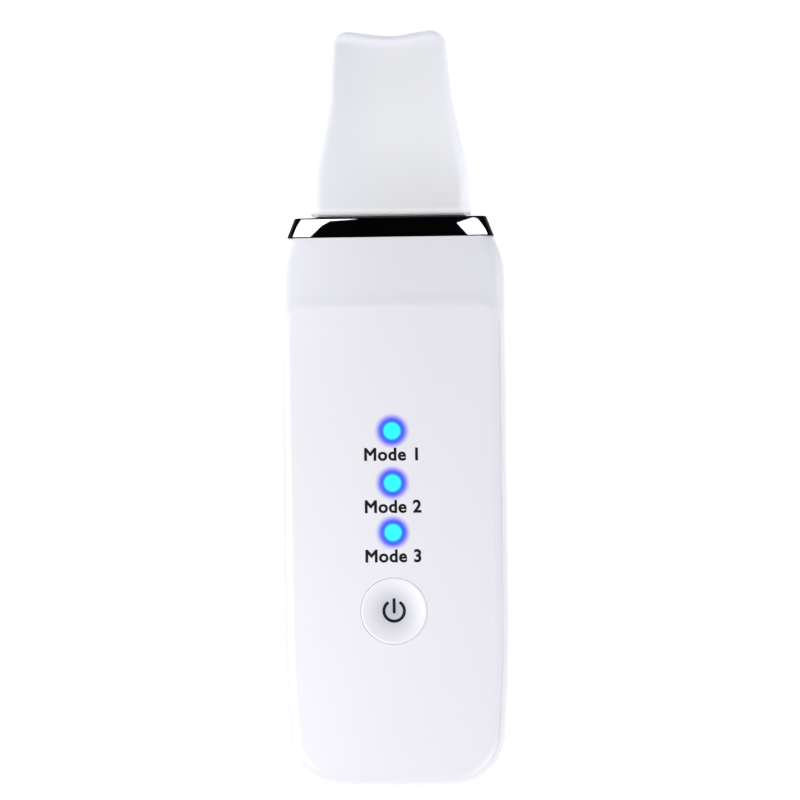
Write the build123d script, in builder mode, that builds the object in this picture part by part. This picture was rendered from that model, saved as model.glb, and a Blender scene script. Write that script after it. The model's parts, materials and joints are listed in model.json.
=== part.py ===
"""Rechargeable ultrasonic skin scrubber: a flat white handpiece with a steel spatula blade under a cap.

The device lies on its back. +Z comes out of the front face, where the mode lights and the power button
are, and +Y runs along the device towards the tip of the blade. The origin is the middle of the footprint,
on the surface that the back rests on. All sizes are millimetres.
"""

import math
import os

from build123d import *

# ---------------------------------------------------------------- driving dimensions
LENGTH = 165.0
FOOT_Y = -LENGTH / 2
TIP_Y = LENGTH / 2

# Case outline, seen from the front
HALF_WIDTH = 24.95
WAIST_Y = -58.0
WAIST_RADIUS = 300.0
FOOT_HALF_WIDTH = 22.95
FOOT_CORNER_Y = FOOT_Y + 1.0
FOOT_CORNER_RADIUS = 11.7
SHOULDER_Y = 31.05
SHOULDER_RADIUS = 15.0
HEAD_HALF_WIDTH = 20.9
HEAD_Y = 41.5

# Case in profile
THICKNESS = 18.0
SHOULDER_SLOPE = math.radians(7.8)
HEAD_BACK = 2.6
BACK_BREAK_Y = 20.0
BREAK_RADIUS = 60.0
FRONT_EDGE = 3.2
BACK_EDGE = 5.5
LEAST_EDGE = 0.4
WALL = 2.0
PARTING_Z = 9.0
SEAM = 0.25

# Soft step from the front panel down to the shoulders, which turns the panel's upper corners
STEP_Y = 23.15
STEP_HALF_WIDTH = 1.3
STEP_DROP = 0.45
STEP_CORNER_X = 22.2
STEP_CORNER_RADIUS = 6.0
STEP_TURN = math.radians(65.0)
STEP_LEG = 14.0
STEP_REACH = 24.0
STEP_CLEAR = 2.0

# Fine seam line that borders the panel along its sides and round its foot
LINE_INSET = 1.42
LINE_WIDTH = 0.18
LINE_FLOOR_Z = 17.36
LINE_TOP_Y = 19.0

# Inside of the front wall: level under the panel, sloping under the shoulders
INNER_TOP = 15.3
INNER_BREAK_Y = 26.3

# Lip along the parting line
LIP_RISE = 1.2
LIP_ROOT = 1.0
LIP_GAP = 0.1

# Chrome collar
COLLAR_Y = 37.1
COLLAR_REVEAL = 0.08
COLLAR_WALL = 1.6
COLLAR_WEB = 1.0
COLLAR_RIM = 0.4
COLLAR_EDGE = 1.3
COLLAR_STEP_CORNER_X = 40.0
SKIRT_DEPTH = 4.0
SKIRT_GAP = 0.15
SKIRT_WALL = 1.1

# Cap over the blade
CAP_MOUTH_Y = 42.2
CAP_WALL = 1.05
CAP_MOUTH_HALF_WIDTH = 17.6
CAP_MOUTH_HALF_DEPTH = 4.6
CAP_TIP_BACK = 7.3
CAP_TIP_FRONT = 12.7
CAP_FLARE = (17.5, 50.5)
CAP_FLARE_RADIUS = 18.0
CAP_WAIST = (14.15, 65.5)
CAP_WAIST_RADIUS = 40.0
CAP_TIP_CORNER = (12.2, TIP_Y + 0.53)
CAP_TIP_RADIUS = 3.6
CAP_SCOOP = (0.0, TIP_Y - 1.35)
CAP_SCOOP_RADIUS = 22.0
CAP_EDGE = 1.5
CAP_MOUTH_CORNER = 0.3
CAP_INNER_EDGE = 0.4

# Blade
BLADE_Z = 9.0
BLADE_THICKNESS = 0.8
BLADE_ROOT_Y = 9.0
BLADE_STEP_Y = 35.0
BLADE_BEND_Y = 72.4
BLADE_BEND_ANGLE = 12.0
BLADE_BEND_RADIUS = 8.0
BLADE_INSET = 1.45
SHANK_HALF_WIDTH = 10.5

# Silicone seal where the blade leaves the collar
SEAL_SLOT_HALF_WIDTH = 16.35
SEAL_SLOT_HALF_DEPTH = 1.9
SEAL_CORNER = 1.2
SEAL_LIP_HEIGHT = 0.45
SEAL_LIP_OVER = 0.2
SEAL_LIP_DEPTH = 0.7
SEAL_FLANGE = 1.0
SEAL_FLANGE_OVER = 0.9

# Ultrasonic drive on the blade's shank
PIEZO_Y = 17.5
PIEZO_RADIUS = 8.0
PIEZO_THICKNESS = 1.2
PIEZO_FILM = 0.08
PIEZO_MARGIN = 0.8
CLAMP_Y = 29.5
CLAMP_HALF_PITCH = 7.5
PAD_THICKNESS = 0.8
PAD_SIZE = (21.0, 6.0)
BAR_THICKNESS = 1.2

# Controls on the long axis of the front face
LIGHT_YS = {"top": -5.0, "middle": -16.3, "bottom": -27.0}
LIGHT_RADIUS = 2.6
LIGHT_GAP = 0.05
LIGHT_RIM = 0.12
LIGHT_FLANGE_RADIUS = 3.3
LIGHT_FLANGE_THICKNESS = 0.8
LIGHT_STEM_RADIUS = 1.9
LED_SIZE = (2.8, 3.4, 1.1)
LED_GAP = 0.5
BAFFLE_HALF_WIDTH = 4.3
BAFFLE_BORE_RADIUS = 2.35
BUTTON_Y = -44.0
BUTTON_RADIUS = 7.2
BUTTON_GAP = 0.05
BUTTON_RIM = 0.25
BUTTON_HOLE_RIM = 0.08
BUTTON_FLANGE_RADIUS = 8.3
BUTTON_FLANGE_THICKNESS = 0.9
BUTTON_WALL = 1.3
DISH_RADIUS = 6.7
DISH_DEPTH = 0.5
GUIDE_RADIUS = BUTTON_FLANGE_RADIUS + 0.3
GUIDE_WALL = 1.0
GUIDE_DROP = 2.3
BUTTON_ROOF = 0.8
BUTTON_POST_RADIUS = 2.2
BUTTON_RIB = 0.9
RIB_ROOT = 0.1

# Board inside the case
BOARD_BOTTOM = 7.6
BOARD_THICKNESS = 1.0
BOARD_TOP = BOARD_BOTTOM + BOARD_THICKNESS
BOARD_TOP_Y = 6.0
BOARD_FOOT_Y = -79.0
BOARD_STEP_Y = -63.0
BOARD_HALF_WIDTH = 19.0
BOARD_FOOT_HALF_WIDTH = 14.0

# Push switch under the button
SWITCH_SIZE = 6.0
SWITCH_HEIGHT = 3.3
SWITCH_CAVITY_RADIUS = 2.5
SWITCH_CAVITY_FLOOR = 1.35
SWITCH_CORNER = 0.5
COVER_SIZE = 5.9
COVER_THICKNESS = 0.3
PLUNGER_RADIUS = 1.7
PLUNGER_GAP = 0.12
PLUNGER_FLANGE_RADIUS = 2.3
PLUNGER_FLANGE_THICKNESS = 0.5
PLUNGER_TOP_Z = 13.3
DOME_THICKNESS = 0.12

# Charging socket
SOCKET_Z = 10.2
SOCKET_HALF_WIDTH = 4.47
SOCKET_HALF_HEIGHT = 1.6
SOCKET_LENGTH = 7.3
SOCKET_MOUTH_Y = -81.6
SOCKET_SKIN = 0.3
SOCKET_CLEARANCE = 0.35
TONGUE_HALF_WIDTH = 3.3
TONGUE_THICKNESS = 0.7
TONGUE_SETBACK = 1.0
SOCKET_BLOCK = 1.6
CONTACTS_PER_SIDE = 12
CONTACT_PITCH = 0.5
CONTACT_SIZE = (0.25, 3.6, 0.06)
CONTACT_SETBACK = 2.4

# Battery
CELL_HALF_WIDTH = 14.0
CELL_FOOT_Y = -60.0
CELL_TOP_Y = -12.0
CELL_Z = 2.6
CELL_THICKNESS = 3.8
CELL_CIRCUIT_DEPTH = 3.6
CELL_CIRCUIT_THICKNESS = 1.2
CELL_CIRCUIT_Z = 4.0
CELL_LEAD_Z = 4.6

# Fasteners, by shank radius
CASE_SCREWS = [(-19.0, 25.0), (19.0, 25.0), (-17.4, -70.0), (17.4, -70.0)]
CASE_SCREW = 1.0
CASE_HEAD = 1.9
CASE_SEAT_Z = 3.0
BOARD_SCREWS = [(-16.4, 2.6), (16.4, 2.6), (-16.4, -59.0), (16.4, -59.0)]
BOARD_SCREW = 0.8
BOARD_HEAD = 1.6
CLAMP_SCREW = 0.85
CLAMP_HEAD = 1.6
CLAMP_PILOT_Z = 4.2
CLAMP_TIP_Z = 4.6
UPPER_SCREW_TIP_Z = 13.0
HEAD_THICKNESS = 1.1
BOSS_WALL = 1.3
CASE_BOSS_WALL = 1.6
BOSS_ROOT = 0.6
PILOT_GAP = 0.03
SCREW_PLAY = 0.15
HEAD_PLAY = 0.3
SLEEVE_WALL = 1.0
TOUCH = 0.02

# Wires inside the case
LEAD_RADIUS = 0.4
LEAD_STUB = 1.3
SOLDER_RISE = 1.4
BLADE_LEAD_X = 8.8

# Hand electrode on the back
ELECTRODE_HALF_WIDTH = 8.0
ELECTRODE_FOOT_Y = -69.0
ELECTRODE_TOP_Y = 2.0
ELECTRODE_THICKNESS = 0.6
ELECTRODE_SUNK = 0.05
ELECTRODE_PLAY = 0.3
ELECTRODE_EDGE = 0.2
STUD_Y = -66.0
STUD_RADIUS = 1.2
STUD_TOP_Z = 3.2
SPRING_RADIUS = 1.5
SPRING_WIRE = 0.2
SPRING_TURNS = 5

PARTS = {}


def finish(builder, name):
    """Labels a finished piece and writes it as parts/NAME.step."""
    piece = builder.part
    piece.label = name
    export_step(piece, f"parts/{name}.step")
    PARTS[name] = piece
    return piece


# ---------------------------------------------------------------- shared outlines
def case_outline(inset=0.0):
    """The case seen from the front, drawn in by inset all round."""
    with BuildSketch() as plan:
        with BuildLine():
            Polyline(
                (-FOOT_HALF_WIDTH, FOOT_CORNER_Y),
                (-HALF_WIDTH, WAIST_Y),
                (-HALF_WIDTH, SHOULDER_Y),
                (-HEAD_HALF_WIDTH, HEAD_Y),
                (HEAD_HALF_WIDTH, HEAD_Y),
                (HALF_WIDTH, SHOULDER_Y),
                (HALF_WIDTH, WAIST_Y),
                (FOOT_HALF_WIDTH, FOOT_CORNER_Y),
            )
            ThreePointArc(
                (FOOT_HALF_WIDTH, FOOT_CORNER_Y),
                (0, FOOT_Y),
                (-FOOT_HALF_WIDTH, FOOT_CORNER_Y),
            )
        make_face()
        rows = plan.vertices().group_by(Axis.Y)
        fillet(rows[0], FOOT_CORNER_RADIUS)
        fillet(plan.vertices().filter_by_position(Axis.Y, WAIST_Y - 1, WAIST_Y + 1), WAIST_RADIUS)
        fillet(plan.vertices().filter_by_position(Axis.Y, SHOULDER_Y - 1, SHOULDER_Y + 1), SHOULDER_RADIUS)
        if inset:
            offset(amount=-inset)
    return plan.sketch


def side_profile(inset=0.0):
    """The case seen from its side, on Plane.YZ, wide enough to trim the extruded outline.

    The outside is left square at the front, for panel_step to cut.
    """
    far = FOOT_Y - 5
    front = [(HEAD_Y, THICKNESS), (far, THICKNESS)]
    if inset:
        top = INNER_TOP + WALL - inset
        drop = (HEAD_Y - INNER_BREAK_Y) * math.tan(SHOULDER_SLOPE)
        front = [(HEAD_Y, top - drop), (INNER_BREAK_Y, top), (far, top)]
    with BuildSketch(Plane.YZ.offset(-HALF_WIDTH - 5)) as profile:
        with BuildLine():
            Polyline((far, inset), (BACK_BREAK_Y, inset), (HEAD_Y, HEAD_BACK + inset), *front, close=True)
        make_face()
        breaks = profile.vertices().filter_by_position(Axis.X, BACK_BREAK_Y - 1, INNER_BREAK_Y + 1)
        fillet(breaks, BREAK_RADIUS)
    return profile.sketch


def panel_step(corner_x):
    """What is cut away above the shoulders: an S-shaped step down from the panel, then a slope.

    The step runs straight across and turns down at corner_x on either side.
    """
    leg = (STEP_LEG * math.cos(STEP_TURN), STEP_LEG * math.sin(STEP_TURN))
    foot_z = THICKNESS - STEP_DROP
    far = STEP_HALF_WIDTH + STEP_REACH
    start = (-corner_x - leg[0], STEP_Y - leg[1])
    with BuildPart() as step:
        with BuildLine() as path:
            FilletPolyline(
                start,
                (-corner_x, STEP_Y),
                (corner_x, STEP_Y),
                (-start[0], start[1]),
                radius=STEP_CORNER_RADIUS,
            )
        with BuildSketch(Plane(origin=start, x_dir=(-leg[1], leg[0]), z_dir=leg)):
            with BuildLine():
                Spline(
                    (-STEP_HALF_WIDTH, THICKNESS),
                    (STEP_HALF_WIDTH, foot_z),
                    tangents=[(1, 0), (1, -math.tan(SHOULDER_SLOPE))],
                )
                Polyline(
                    (STEP_HALF_WIDTH, foot_z),
                    (far, foot_z - STEP_REACH * math.tan(SHOULDER_SLOPE)),
                    (far, THICKNESS + STEP_CLEAR),
                    (-STEP_HALF_WIDTH, THICKNESS + STEP_CLEAR),
                    (-STEP_HALF_WIDTH, THICKNESS),
                )
            make_face()
        sweep(path=path.line)
    return step.part


def case_form(inset=0.0, front_edge=FRONT_EDGE, step_corner_x=STEP_CORNER_X):
    """The rounded case body, drawn in by inset on every side. The head end is left square."""
    rim = case_outline(inset).face().outer_wire()
    with BuildPart() as form:
        extrude(case_outline(inset), amount=THICKNESS)
        extrude(side_profile(inset), amount=2 * HALF_WIDTH + 10, mode=Mode.INTERSECT)
        if not inset:
            add(panel_step(step_corner_x), mode=Mode.SUBTRACT)

        def long_edges(above):
            kept = []
            for edge in form.edges():
                middle = edge.position_at(0.5)
                upright = abs(edge.tangent_at(0.5).Z) > 0.9
                at_head = middle.Y > HEAD_Y - inset - 0.01
                on_rim = rim.distance_to(Vertex(middle.X, middle.Y, 0)) < 0.01
                if on_rim and not upright and not at_head and (middle.Z > PARTING_Z) == above:
                    kept.append(edge)
            return kept

        fillet(long_edges(True), max(front_edge - inset, LEAST_EDGE))
        fillet(long_edges(False), BACK_EDGE - inset)
    return form.part


def seam_line():
    """The fine groove along the panel's sides and round its foot."""
    with BuildPart() as groove:
        with BuildSketch(Plane.XY.offset(LINE_FLOOR_Z)):
            add(case_outline(LINE_INSET - LINE_WIDTH / 2))
            add(case_outline(LINE_INSET + LINE_WIDTH / 2), mode=Mode.SUBTRACT)
            with Locations((0, LINE_TOP_Y)):
                Rectangle(4 * HALF_WIDTH, LENGTH, align=(Align.CENTER, Align.MIN), mode=Mode.SUBTRACT)
        extrude(amount=THICKNESS + 1 - LINE_FLOOR_Z)
    return groove.part


def across_y(y):
    """The plane across the device at y. Its top side is the handle side."""
    return Plane.XZ.offset(-y)


def cap_outline(inset=0.0, foot=CAP_MOUTH_Y):
    """The cap seen from the front: straight at the mouth, waisted, with a shallow scoop in its tip."""
    half = [(CAP_MOUTH_HALF_WIDTH, foot - inset), CAP_FLARE, CAP_WAIST, CAP_TIP_CORNER]
    with BuildSketch() as plan:
        with BuildLine():
            Polyline(*half, CAP_SCOOP, *[(-x, y) for x, y in reversed(half)], close=True)
        make_face()
        for bend, radius in ((CAP_FLARE, CAP_FLARE_RADIUS), (CAP_WAIST, CAP_WAIST_RADIUS)):
            fillet(plan.vertices().filter_by_position(Axis.Y, bend[1] - 1, bend[1] + 1), radius)
        fillet(plan.vertices().group_by(Axis.Y)[-1], CAP_TIP_RADIUS)
        fillet(plan.vertices().sort_by_distance(CAP_SCOOP)[0], CAP_SCOOP_RADIUS)
        if inset:
            offset(amount=-inset)
        else:
            fillet(plan.vertices().group_by(Axis.Y)[0], CAP_MOUTH_CORNER)
    return plan.sketch


def cap_form(inset=0.0, foot=CAP_MOUTH_Y):
    """The cap's wedge shape, drawn in by inset, with its mouth at foot."""
    slope_y = CAP_MOUTH_Y
    back = BLADE_Z - CAP_MOUTH_HALF_DEPTH
    front = BLADE_Z + CAP_MOUTH_HALF_DEPTH
    with BuildPart() as form:
        extrude(cap_outline(inset, foot), amount=THICKNESS)
        with BuildSketch(Plane.YZ.offset(-HALF_WIDTH)):
            with BuildLine():
                Polyline(
                    (foot - 1, back + inset),
                    (slope_y, back + inset),
                    (TIP_Y + 1, CAP_TIP_BACK + inset),
                    (TIP_Y + 1, CAP_TIP_FRONT - inset),
                    (slope_y, front - inset),
                    (foot - 1, front - inset),
                    close=True,
                )
            make_face()
        extrude(amount=2 * HALF_WIDTH, mode=Mode.INTERSECT)
        long_edges = [
            edge
            for edge in form.edges()
            if abs(edge.tangent_at(0.5).Z) < 0.9
            and edge.position_at(0.5).Y > foot + 0.1
            and not (abs(edge.tangent_at(0.5).X) > 0.99 and edge.position_at(0.5).Y < slope_y + 0.1)
        ]
        fillet(long_edges, CAP_EDGE if not inset else CAP_INNER_EDGE)
    return form.part


def socket_slot(grow, length, mouth_y):
    """A round-ended bar of the charging socket's section, grown by grow, running up from mouth_y."""
    with BuildPart() as bar:
        with BuildSketch(Plane(origin=(0, mouth_y, SOCKET_Z), x_dir=(1, 0, 0), z_dir=(0, 1, 0))):
            SlotOverall(2 * (SOCKET_HALF_WIDTH + grow), 2 * (SOCKET_HALF_HEIGHT + grow))
        extrude(amount=length)
    return bar.part


def pin(radius, low, high, spots):
    """Upright round pins at the spots, from one level to another."""
    with BuildPart() as pins:
        with BuildSketch(Plane.XY.offset(low)):
            with Locations(*spots):
                Circle(radius)
        extrude(amount=high - low)
    return pins.part


def block(size, spots, low):
    """Plain rectangular blocks at the spots, standing on a level."""
    with BuildPart() as blocks:
        with Locations(*[(x, y, low) for x, y in spots]):
            Box(*size, align=(Align.CENTER, Align.CENTER, Align.MIN))
    return blocks.part


def screws(spots, shank, tip_z, seat_z, head, points_up=True):
    """Pan-head screws with a cross recess. The head lies beyond seat_z, away from the tip."""
    way = -1 if points_up else 1
    with BuildPart() as group:
        add(pin(shank, min(tip_z, seat_z), max(tip_z, seat_z), spots))
        head_end = seat_z + way * HEAD_THICKNESS
        add(pin(head, min(seat_z, head_end), max(seat_z, head_end), spots))
        for angle in (0, 90):
            with BuildSketch(Plane.XY.offset(head_end)):
                with Locations(*spots):
                    Rectangle(head * 1.2, head * 0.3, rotation=angle)
            extrude(amount=-way * HEAD_THICKNESS * 0.55, mode=Mode.SUBTRACT)
    return group


def lead(points, bend):
    """An insulated wire along straight runs with rounded corners."""
    with BuildPart() as wire:
        with BuildLine() as path:
            FilletPolyline(*points, radius=bend)
        with BuildSketch(path.line ^ 0):
            Circle(LEAD_RADIUS)
        sweep()
    return wire


os.makedirs("parts", exist_ok=True)
clamp_spots = [(-CLAMP_HALF_PITCH, CLAMP_Y), (CLAMP_HALF_PITCH, CLAMP_Y)]
light_spots = [(0, y) for y in LIGHT_YS.values()]
button_spot = [(0, BUTTON_Y)]

# ---------------------------------------------------------------- casing
case_cavity = case_form(WALL)
with BuildPart() as case_wall:
    add(case_form())
    add(seam_line(), mode=Mode.SUBTRACT)
    add(case_cavity, mode=Mode.SUBTRACT)
    split(bisect_by=across_y(COLLAR_Y), keep=Keep.TOP)

with BuildPart() as front_shell:
    add(case_wall.part)
    split(bisect_by=Plane.XY.offset(PARTING_Z + SEAM), keep=Keep.TOP)
    with BuildSketch(Plane.XY.offset(PARTING_Z)):
        add(case_outline(LIP_ROOT - LIP_GAP))
    extrude(amount=LIP_RISE + LIP_GAP, mode=Mode.SUBTRACT)
    add(pin(CASE_SCREW + CASE_BOSS_WALL, PARTING_Z + TOUCH, INNER_TOP + BOSS_ROOT, CASE_SCREWS))
    add(pin(BOARD_SCREW + BOSS_WALL, BOARD_TOP + TOUCH, INNER_TOP + BOSS_ROOT, BOARD_SCREWS))
    add(pin(GUIDE_RADIUS + GUIDE_WALL, INNER_TOP - GUIDE_DROP, INNER_TOP + BOSS_ROOT, button_spot))
    add(pin(GUIDE_RADIUS, INNER_TOP - GUIDE_DROP, INNER_TOP, button_spot), mode=Mode.SUBTRACT)
    add(pin(CASE_SCREW + PILOT_GAP, PARTING_Z, INNER_TOP - BOSS_ROOT, CASE_SCREWS), mode=Mode.SUBTRACT)
    add(pin(BOARD_SCREW + PILOT_GAP, BOARD_TOP, INNER_TOP - BOSS_ROOT, BOARD_SCREWS), mode=Mode.SUBTRACT)
    add(pin(LIGHT_RADIUS + LIGHT_GAP, INNER_TOP - 1, THICKNESS + 1, light_spots), mode=Mode.SUBTRACT)
    add(pin(BUTTON_RADIUS + BUTTON_GAP, INNER_TOP - 1, THICKNESS + 1, button_spot), mode=Mode.SUBTRACT)
    add(socket_slot(SOCKET_CLEARANCE, WALL + 2, FOOT_Y - 1), mode=Mode.SUBTRACT)
    button_rim = (
        front_shell.edges()
        .filter_by(GeomType.CIRCLE)
        .filter_by(lambda e: abs(e.radius - BUTTON_RADIUS - BUTTON_GAP) < 0.01)
        .sort_by(Axis.Z)[-1]
    )
    fillet(button_rim, BUTTON_HOLE_RIM)
finish(front_shell, "front_shell")

with BuildPart() as rear_shell:
    add(case_wall.part)
    split(bisect_by=Plane.XY.offset(PARTING_Z), keep=Keep.BOTTOM)
    with BuildSketch(Plane.XY.offset(PARTING_Z - 1)) as lip:
        add(case_outline(LIP_ROOT))
        add(case_outline(WALL), mode=Mode.SUBTRACT)
        with Locations((0, COLLAR_Y)):
            Rectangle(4 * HALF_WIDTH, LENGTH, align=(Align.CENTER, Align.MIN), mode=Mode.SUBTRACT)
    extrude(amount=LIP_RISE + 1)
    add(pin(CASE_HEAD + HEAD_PLAY + SLEEVE_WALL, WALL / 2, PARTING_Z, CASE_SCREWS))
    clamp_seat = BLADE_Z - BLADE_THICKNESS / 2 - PAD_THICKNESS - 2 * TOUCH
    add(pin(CLAMP_SCREW + BOSS_WALL, WALL, clamp_seat, clamp_spots))
    add(pin(CASE_HEAD + HEAD_PLAY, -1, CASE_SEAT_Z, CASE_SCREWS), mode=Mode.SUBTRACT)
    add(pin(CASE_SCREW + SCREW_PLAY, 0, PARTING_Z, CASE_SCREWS), mode=Mode.SUBTRACT)
    add(pin(CLAMP_SCREW + PILOT_GAP, CLAMP_PILOT_Z, PARTING_Z, clamp_spots), mode=Mode.SUBTRACT)
    electrode_middle = (ELECTRODE_FOOT_Y + ELECTRODE_TOP_Y) / 2
    with BuildSketch() as recess:
        with Locations((0, electrode_middle)):
            SlotOverall(
                ELECTRODE_TOP_Y - ELECTRODE_FOOT_Y + ELECTRODE_PLAY,
                2 * ELECTRODE_HALF_WIDTH + ELECTRODE_PLAY,
                rotation=90,
            )
    extrude(amount=ELECTRODE_SUNK + ELECTRODE_THICKNESS + TOUCH, mode=Mode.SUBTRACT)
    add(pin(STUD_RADIUS + TOUCH, 0, WALL + 1, [(0, STUD_Y)]), mode=Mode.SUBTRACT)
    add(socket_slot(SOCKET_CLEARANCE, WALL + 2, FOOT_Y - 1), mode=Mode.SUBTRACT)
finish(rear_shell, "rear_shell")

case_screws = screws(CASE_SCREWS, CASE_SCREW, UPPER_SCREW_TIP_Z, CASE_SEAT_Z, CASE_HEAD)
finish(case_screws, "case_screws")

# ---------------------------------------------------------------- collar and seal
def cross_slab(low_y, high_y, half_width, half_depth, corner=SEAL_CORNER):
    """A flat bar across the device at the blade's level, between two values of y."""
    with BuildPart() as slab:
        with BuildSketch(Plane(origin=(0, low_y, BLADE_Z), x_dir=(1, 0, 0), z_dir=(0, 1, 0))) as section:
            Rectangle(2 * half_width, 2 * half_depth)
            if corner:
                fillet(section.vertices(), corner)
        extrude(amount=high_y - low_y)
    return slab.part


COLLAR_FOOT_Y = COLLAR_Y + COLLAR_REVEAL
with BuildPart() as collar_ring:
    add(case_form(front_edge=COLLAR_EDGE, step_corner_x=COLLAR_STEP_CORNER_X))
    split(bisect_by=across_y(COLLAR_FOOT_Y), keep=Keep.BOTTOM)
    fillet(collar_ring.faces().sort_by(Axis.Y)[-1].edges(), COLLAR_RIM)
    add(case_form(COLLAR_WALL), mode=Mode.SUBTRACT)

with BuildPart() as collar_web:
    add(case_form(COLLAR_WALL / 2))
    split(bisect_by=across_y(COLLAR_FOOT_Y), keep=Keep.BOTTOM)
    split(bisect_by=across_y(COLLAR_FOOT_Y + COLLAR_WEB), keep=Keep.TOP)

with BuildPart() as collar_skirt:
    add(case_form(WALL + SKIRT_GAP))
    split(bisect_by=across_y(COLLAR_Y - SKIRT_DEPTH), keep=Keep.BOTTOM)
    split(bisect_by=across_y(COLLAR_FOOT_Y + COLLAR_WEB), keep=Keep.TOP)

with BuildPart() as collar:
    add(collar_ring.part)
    add(collar_web.part)
    add(collar_skirt.part)
    add(case_form(WALL + SKIRT_GAP + SKIRT_WALL), mode=Mode.SUBTRACT)
    add(cross_slab(HEAD_Y - 4, HEAD_Y + 1, SEAL_SLOT_HALF_WIDTH, SEAL_SLOT_HALF_DEPTH), mode=Mode.SUBTRACT)
finish(collar, "collar")

with BuildPart() as blade_seal:
    flange_top = HEAD_Y - COLLAR_WALL - TOUCH
    flange_foot = flange_top - SEAL_FLANGE
    slot_width = SEAL_SLOT_HALF_WIDTH - TOUCH
    slot_depth = SEAL_SLOT_HALF_DEPTH - TOUCH
    lip_foot = HEAD_Y + TOUCH
    flange_width = slot_width + SEAL_FLANGE
    flange_depth = slot_depth + SEAL_FLANGE_OVER
    add(cross_slab(flange_foot, flange_top, flange_width, flange_depth))
    add(cross_slab(flange_foot, HEAD_Y + SEAL_LIP_HEIGHT, slot_width, slot_depth))
    lip_width = slot_width + SEAL_LIP_OVER
    lip_depth = slot_depth + SEAL_LIP_DEPTH
    add(cross_slab(lip_foot, HEAD_Y + SEAL_LIP_HEIGHT, lip_width, lip_depth))
    blade_hole = BLADE_THICKNESS / 2 + TOUCH
    half_blade = CAP_MOUTH_HALF_WIDTH - BLADE_INSET + TOUCH
    add(cross_slab(flange_foot - 1, HEAD_Y + 2, half_blade, blade_hole, corner=0), mode=Mode.SUBTRACT)
finish(blade_seal, "blade_seal")

# ---------------------------------------------------------------- blade, its drive and its clamp
with BuildPart() as blade:
    with BuildSketch():
        add(cap_outline(BLADE_INSET, BLADE_STEP_Y))
        with Locations((0, BLADE_ROOT_Y)):
            Rectangle(
                2 * SHANK_HALF_WIDTH,
                BLADE_STEP_Y + BLADE_INSET - BLADE_ROOT_Y + 1,
                align=(Align.CENTER, Align.MIN),
            )
    extrude(amount=THICKNESS)
    rise = (TIP_Y - BLADE_BEND_Y) * math.tan(math.radians(BLADE_BEND_ANGLE))
    lower = BLADE_Z - BLADE_THICKNESS / 2
    upper = BLADE_Z + BLADE_THICKNESS / 2
    with BuildSketch(Plane.YZ.offset(-HALF_WIDTH)) as strip:
        with BuildLine():
            Polyline(
                (BLADE_ROOT_Y - 1, lower),
                (BLADE_BEND_Y, lower),
                (TIP_Y, lower + rise),
                (TIP_Y, upper + rise),
                (BLADE_BEND_Y, upper),
                (BLADE_ROOT_Y - 1, upper),
                close=True,
            )
        make_face()
        bends = strip.vertices().filter_by_position(Axis.X, BLADE_BEND_Y - 1, BLADE_BEND_Y + 1)
        fillet(bends, BLADE_BEND_RADIUS)
    extrude(amount=2 * HALF_WIDTH, mode=Mode.INTERSECT)
    add(pin(CLAMP_SCREW + SCREW_PLAY, lower - 1, upper + 1, clamp_spots), mode=Mode.SUBTRACT)
finish(blade, "blade")

piezo_z = upper + TOUCH
with BuildPart() as piezo_disc:
    add(pin(PIEZO_RADIUS, piezo_z, piezo_z + PIEZO_THICKNESS, [(0, PIEZO_Y)]))
finish(piezo_disc, "piezo_disc")

with BuildPart() as piezo_electrode:
    film_z = piezo_z + PIEZO_THICKNESS
    add(pin(PIEZO_RADIUS - PIEZO_MARGIN, film_z, film_z + PIEZO_FILM, [(0, PIEZO_Y)]))
finish(piezo_electrode, "piezo_electrode")


def clamp_plate(size, low, thickness):
    """A plate across the blade's shank, with a hole for each clamp screw."""
    with BuildPart() as plate:
        with BuildSketch(Plane.XY.offset(low)):
            with Locations((0, CLAMP_Y)):
                RectangleRounded(*size, 1.5)
            with Locations(*clamp_spots):
                Circle(CLAMP_SCREW + SCREW_PLAY, mode=Mode.SUBTRACT)
        extrude(amount=thickness)
    return plate


rear_pad_z = lower - TOUCH - PAD_THICKNESS
front_pad_z = upper + TOUCH
bar_z = front_pad_z + PAD_THICKNESS + TOUCH
clamp_seat_z = bar_z + BAR_THICKNESS + TOUCH
damper_pad_rear = clamp_plate(PAD_SIZE, rear_pad_z, PAD_THICKNESS)
finish(damper_pad_rear, "damper_pad_rear")
damper_pad_front = clamp_plate(PAD_SIZE, front_pad_z, PAD_THICKNESS)
finish(damper_pad_front, "damper_pad_front")
clamp_bar = clamp_plate((PAD_SIZE[0] - 0.6, PAD_SIZE[1] - 0.6), bar_z, BAR_THICKNESS)
finish(clamp_bar, "clamp_bar")
clamp_screws = screws(clamp_spots, CLAMP_SCREW, CLAMP_TIP_Z, clamp_seat_z, CLAMP_HEAD, points_up=False)
finish(clamp_screws, "clamp_screws")

with BuildPart() as blade_cap:
    add(cap_form())
    add(cap_form(CAP_WALL, CAP_MOUTH_Y - 6), mode=Mode.SUBTRACT)
finish(blade_cap, "blade_cap")

# ---------------------------------------------------------------- main board
with BuildPart() as main_board:
    with BuildSketch(Plane.XY.offset(BOARD_BOTTOM)) as board_plan:
        with BuildLine():
            right = [
                (BOARD_FOOT_HALF_WIDTH, BOARD_FOOT_Y),
                (BOARD_FOOT_HALF_WIDTH, BOARD_STEP_Y),
                (BOARD_HALF_WIDTH, BOARD_STEP_Y + 2),
                (BOARD_HALF_WIDTH, BOARD_TOP_Y),
            ]
            Polyline(*right, *[(-x, y) for x, y in reversed(right)], close=True)
        make_face()
        fillet(board_plan.vertices(), 0.8)
        with Locations(*BOARD_SCREWS):
            Circle(BOARD_SCREW + SCREW_PLAY, mode=Mode.SUBTRACT)
    extrude(amount=BOARD_THICKNESS)
finish(main_board, "main_board")

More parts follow.
